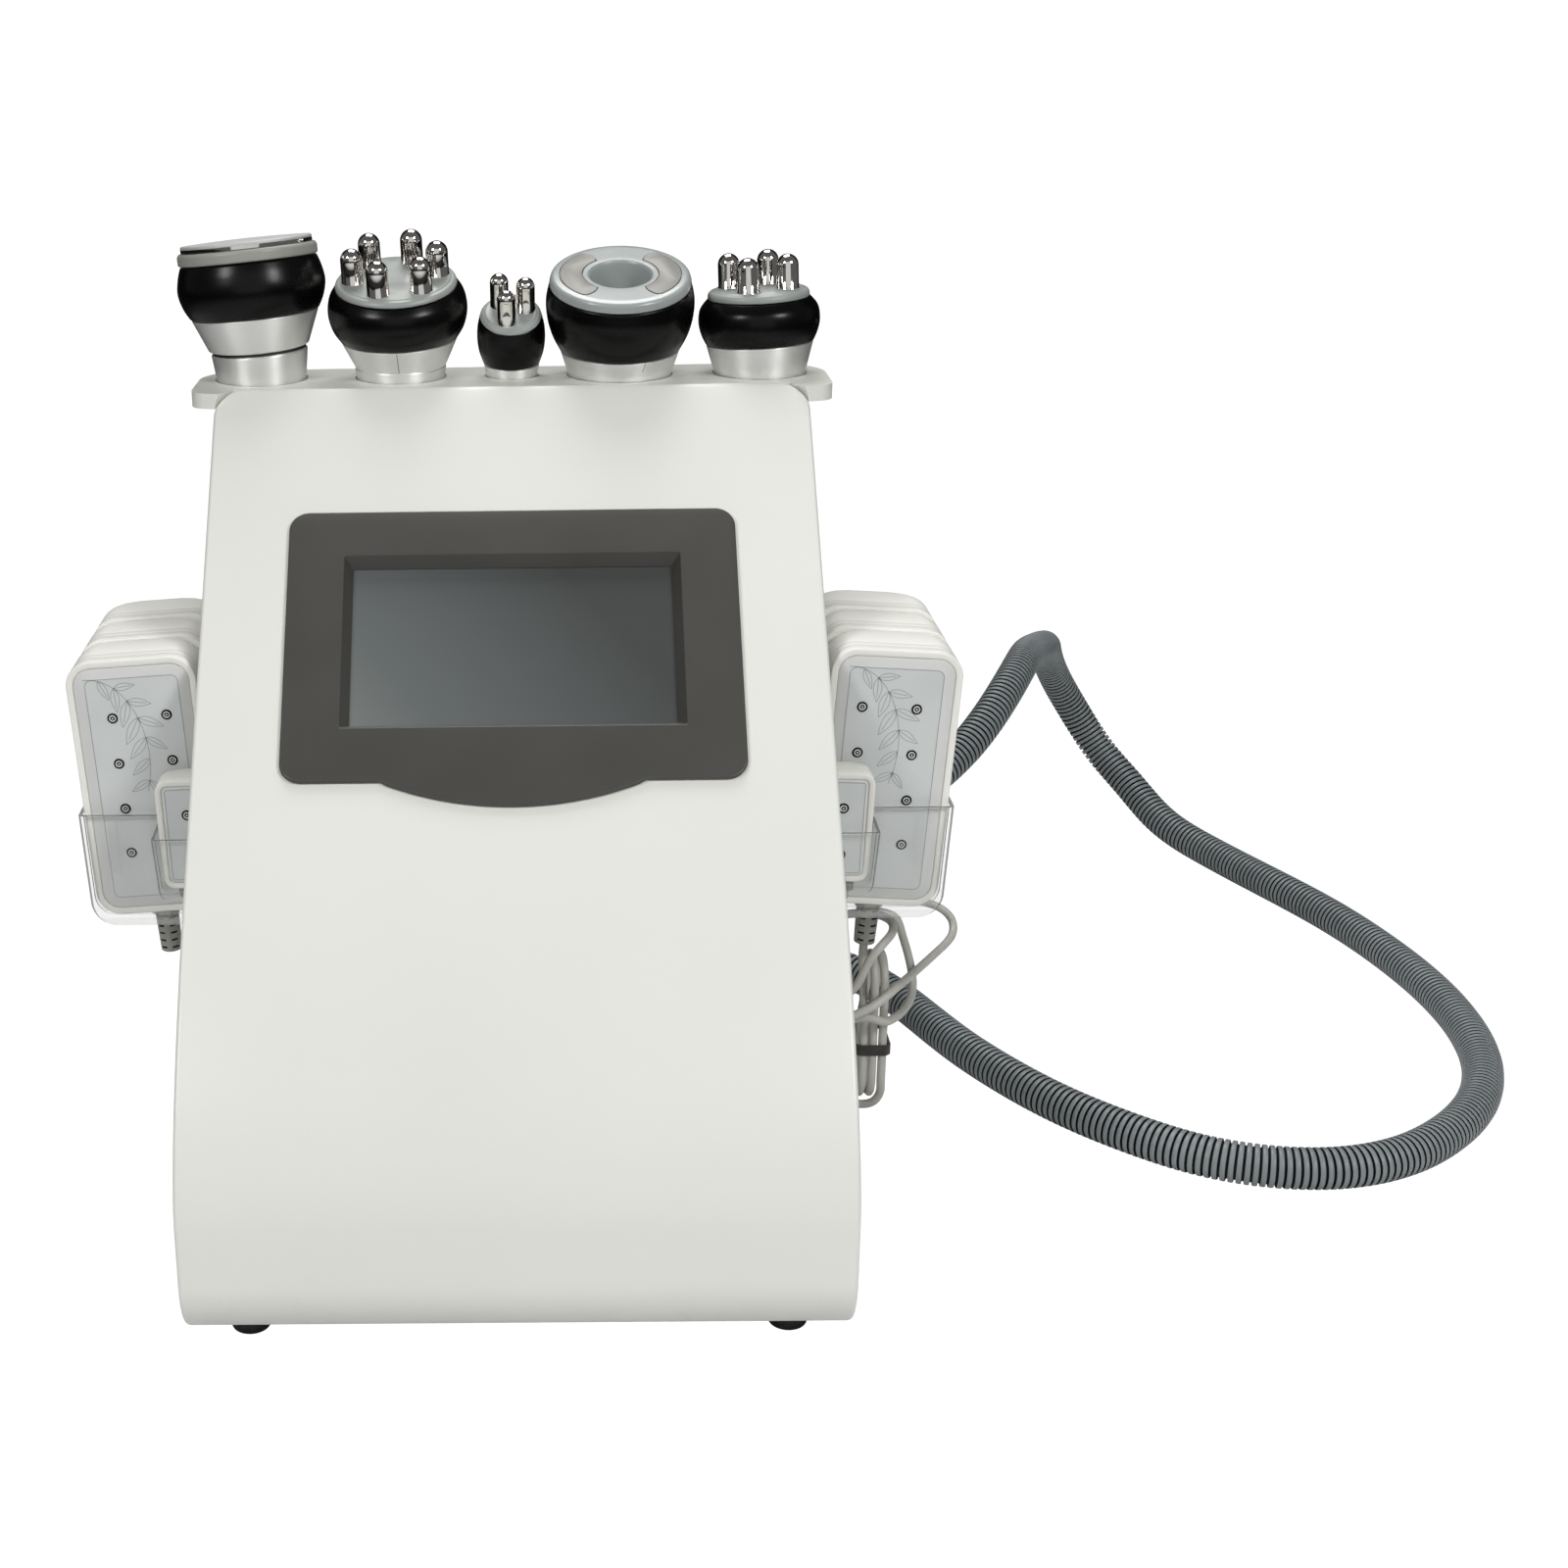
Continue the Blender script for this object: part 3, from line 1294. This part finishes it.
hose_radius = 0.01075
hose_root_share = 0.865
hose_rib_count = 120
hose_bore_radius = 0.0062
hose_bore_points = 48
hose_route = (
    (0.0560, 0.3220, 0.2320), (0.0560, 0.3220, 0.2220), (0.0562, 0.3221, 0.2100), (0.0610, 0.3240, 0.1850), (0.0740, 0.3280, 0.1600),
    (0.1010, 0.3380, 0.1320), (0.1480, 0.3590, 0.1130), (0.1950, 0.3840, 0.1110), (0.2350, 0.4120, 0.1222),
    (0.2697, 0.4440, 0.1388), (0.2996, 0.4850, 0.1595), (0.3182, 0.5270, 0.1661), (0.3322, 0.5690, 0.1602),
    (0.3499, 0.6120, 0.1506), (0.3607, 0.6500, 0.1347), (0.3742, 0.6760, 0.1087), (0.3921, 0.6840, 0.0796),
    (0.4095, 0.6760, 0.0540), (0.4260, 0.6580, 0.0360), (0.4420, 0.6310, 0.0200), (0.4640, 0.5920, 0.0118),
    (0.4890, 0.5350, 0.0110), (0.5110, 0.4800, 0.0110), (0.5275, 0.4200, 0.0110), (0.5360, 0.3630, 0.0110),
    (0.5360, 0.3130, 0.0110), (0.5270, 0.2650, 0.0110), (0.5070, 0.2220, 0.0110), (0.4790, 0.1890, 0.0110),
    (0.4480, 0.1665, 0.0110), (0.4150, 0.1560, 0.0110), (0.3810, 0.1575, 0.0110), (0.3500, 0.1690, 0.0110),
    (0.3200, 0.1920, 0.0110), (0.2920, 0.2220, 0.0110), (0.2670, 0.2590, 0.0110), (0.2470, 0.2980, 0.0110),
    (0.2310, 0.3380, 0.0112), (0.2120, 0.3750, 0.0130), (0.1810, 0.4020, 0.0170), (0.1420, 0.4110, 0.0225),
    (0.1040, 0.4000, 0.0285), (0.0750, 0.3730, 0.0325), (0.0640, 0.3450, 0.0338), (0.0620, 0.3260, 0.0340),
    (0.0620, 0.3170, 0.0340), (0.0620, 0.3085, 0.0340),
)


def placed(route):
    """A route with its distances behind the front made into Y."""
    return [(x, front_y + y, z) for x, y, z in route]


def make_hose():
    route = placed(hose_route)
    points = sample_route(route, 2 * hose_rib_count + 1)
    shares = [1.0 if i % 2 else hose_root_share for i in range(len(points))]
    hose = add_part("vacuum_hose", mesh_from_object(tube_object(points, hose_radius, 2, shares)), hose_gray)
    bore = sample_route(route, hose_bore_points)
    first = np.array(bore[0]) + (np.array(bore[0]) - bore[1]) * 0.5
    last = np.array(bore[-1]) + (np.array(bore[-1]) - bore[-2]) * 0.5
    bore = [first, *bore, last]
    cut(hose, add_tool(mesh_from_object(tube_object(bore, hose_bore_radius, 2))))


# Pad leads at the right, as (distance out from the side panel, distance behind the front, z): each
# leaves its pad's boot and ends at its gland on the side panel

lead_radius = 0.0022
lead_spacing = 0.0110
lead_straight = 0.0060
lead_routes = {
    "rear": (
        (0.0525, 0.2722, 0.1220), (0.0610, 0.2724, 0.1150), (0.0750, 0.2724, 0.1100), (0.0877, 0.2720, 0.1051),
        (0.0924, 0.2700, 0.1002), (0.0926, 0.2650, 0.0966), (0.0884, 0.2550, 0.0944), (0.0802, 0.2420, 0.0936),
        (0.0686, 0.2220, 0.0944), (0.0583, 0.2000, 0.0981), (0.0475, 0.1780, 0.1013), (0.0402, 0.1720, 0.0982),
        (0.0335, 0.1690, 0.0952), (0.0280, 0.1680, 0.0930), (0.0190, 0.1665, 0.0895),
    ),
    "middle": (
        (0.0390, 0.2360, 0.1240), (0.0470, 0.2385, 0.1190), (0.0568, 0.2400, 0.1148), (0.0607, 0.2410, 0.1064),
        (0.0638, 0.2420, 0.0966), (0.0662, 0.2410, 0.0877), (0.0670, 0.2370, 0.0819), (0.0662, 0.2300, 0.0795),
        (0.0628, 0.2160, 0.0786), (0.0563, 0.1980, 0.0807), (0.0484, 0.1800, 0.0847), (0.0428, 0.1750, 0.0855),
        (0.0369, 0.1745, 0.0876), (0.0290, 0.1760, 0.0870), (0.0190, 0.1785, 0.0825),
    ),
    "small": (
        (0.0173, 0.1690, 0.1465), (0.0200, 0.1850, 0.1365), (0.0250, 0.2030, 0.1320), (0.0350, 0.2120, 0.1290),
        (0.0448, 0.2125, 0.1276), (0.0490, 0.2095, 0.1264), (0.0501, 0.2030, 0.1257), (0.0476, 0.1920, 0.1261),
        (0.0415, 0.1780, 0.1270), (0.0363, 0.1740, 0.1226), (0.0325, 0.1740, 0.1156), (0.0290, 0.1750, 0.1065),
        (0.0230, 0.1765, 0.0995), (0.0160, 0.1770, 0.0970),
    ),
}

# The front pad's lead hangs in a hank: runs in front and behind, and a step outwards up each run behind
hank_top = 0.1120
hank_bottom = 0.0360
hank_fold = 0.0135
hank_step = 0.0049
hank_y = 0.1980
hank_start = 0.0800
hank_end = 0.0520
hank_loops = 2
hank_loop_points = 24
tail_route = (
    (0.0445, 0.1855, 0.0420), (0.0410, 0.1890, 0.0330), (0.0330, 0.1940, 0.0295), (0.0220, 0.1980, 0.0300),
    (0.0140, 0.2000, 0.0335),
)


def beside(route):
    """A lead's route with its distances from the side panel and from the front made into X and Y."""
    return [(side_face_x + x, front_y + y, z) for x, y, z in route]


def lead_start(tip, lean):
    """The first points of a lead, straight out of a boot that leans."""
    down = Vector((-math.sin(lean), 0, -math.cos(lean)))
    return [tuple(tip + down * gap), tuple(tip + down * lead_straight)]


def lead_end(name):
    """The last points of a lead, straight into its gland."""
    y, z = gland_places[name]
    x = side_face_x + gland_length + gap
    return [(x + lead_straight, front_y + y, z), (x, front_y + y, z)]


def make_lead(name, route):
    at, place = smooth_curve(route)
    first, last = place[1], place[-2]
    count = max(4, round((last - first) / lead_spacing) + 1)
    middle = [at(first + (last - first) * i / (count - 1)) for i in range(count)]
    points = [route[0], *middle, route[-1]]
    add_part(name, mesh_from_object(tube_object(points, lead_radius, 2)), lead_gray)
    print(f"{name}: {place[-1] * 1000:.0f} mm")


def hank_points(x):
    """Points down the front of the hank, round its folds and up its back."""
    high, low = hank_top - hank_fold, hank_bottom + hank_fold
    run, fold = high - low, math.pi * hank_fold
    loop = 2 * (run + fold)
    start, end = high - hank_start, hank_loops * loop + high - hank_end
    count = round((end - start) / loop * hank_loop_points) + 1
    y = front_y + hank_y
    points = []
    for i in range(count):
        turn, place = divmod(start + (end - start) * i / (count - 1), loop)
        if place < run:
            point = (x + turn * hank_step, y - hank_fold, high - place)
        elif place < run + fold:
            angle = (place - run) / hank_fold
            point = (x + turn * hank_step, y - hank_fold * math.cos(angle), low - hank_fold * math.sin(angle))
        elif place < 2 * run + fold:
            share = (place - run - fold) / run
            climb = (1 - math.cos(math.pi * share)) / 2
            point = (x + (turn + climb) * hank_step, y + hank_fold, low + share * run)
        else:
            angle = (place - 2 * run - fold) / hank_fold
            point = (x + (turn + 1) * hank_step, y + hank_fold * math.cos(angle),
                     high + hank_fold * math.sin(angle))
        points.append(point)
    return points


def least_gap(points, radius):
    """The least free distance between points of one tube that lie well apart along it."""
    fine = np.array(sample_route(points, 8 * len(points)))
    near = math.ceil(4 * radius / np.linalg.norm(fine[1] - fine[0]))
    least = math.inf
    for i in range(len(fine) - near):
        least = min(least, np.linalg.norm(fine[i + near :] - fine[i], axis=1).min())
    return least - 2 * radius


def make_leads(tips):
    lean = {"rear": pad_lean, "middle": pad_lean, "small": small_lean}
    for name, route in lead_routes.items():
        tip = tips[f"light_pad_right_{name}"]
        make_lead(f"pad_lead_{name}", [*lead_start(tip, lean[name]), *beside(route), *lead_end(name)])
    tip = tips["light_pad_right_front"]
    x = tip.x - math.sin(pad_lean) * lead_straight
    y = front_y + hank_y - hank_fold
    points = hank_points(x)
    tube = tube_object(points, lead_radius, 1)
    add_part("pad_lead_front_hank", mesh_from_object(tube), lead_gray)
    print(f"hank: least gap to itself {least_gap(points, lead_radius) * 1000:.2f} mm")
    fall = tip.z - lead_straight - hank_start
    share = 0.4
    drop = [
        (x, (tip.y * 3 + y) / 4, tip.z - lead_straight - fall * share * 3 / 4),
        (x, (tip.y + y * 3) / 4, hank_start + fall * share * 3 / 4),
        (x, y, hank_start + lead_straight), (x, y, hank_start + gap),
    ]
    make_lead("pad_lead_front", [*lead_start(tip, pad_lean), *drop])
    x = points[-1][0]
    start = [(x, y, hank_end - gap), (x, y, hank_end - lead_straight)]
    make_lead("pad_lead_front_end", [*start, *beside(tail_route), *lead_end("front")])


def main():
    make_front_panel()
    make_bezel()
    make_screen()
    make_side_panels()
    make_base()
    make_feet()
    make_rear_panel()
    make_fan()
    make_inlet()
    make_hose_port()
    make_internals()
    specs = (cavitation, six_pole, three_pole, vacuum, four_pole)
    make_tray([(spec["x"], spec["shank"]) for spec in specs])
    make_handpieces()
    tips = make_sides()
    make_hose()
    make_leads(tips)


main()
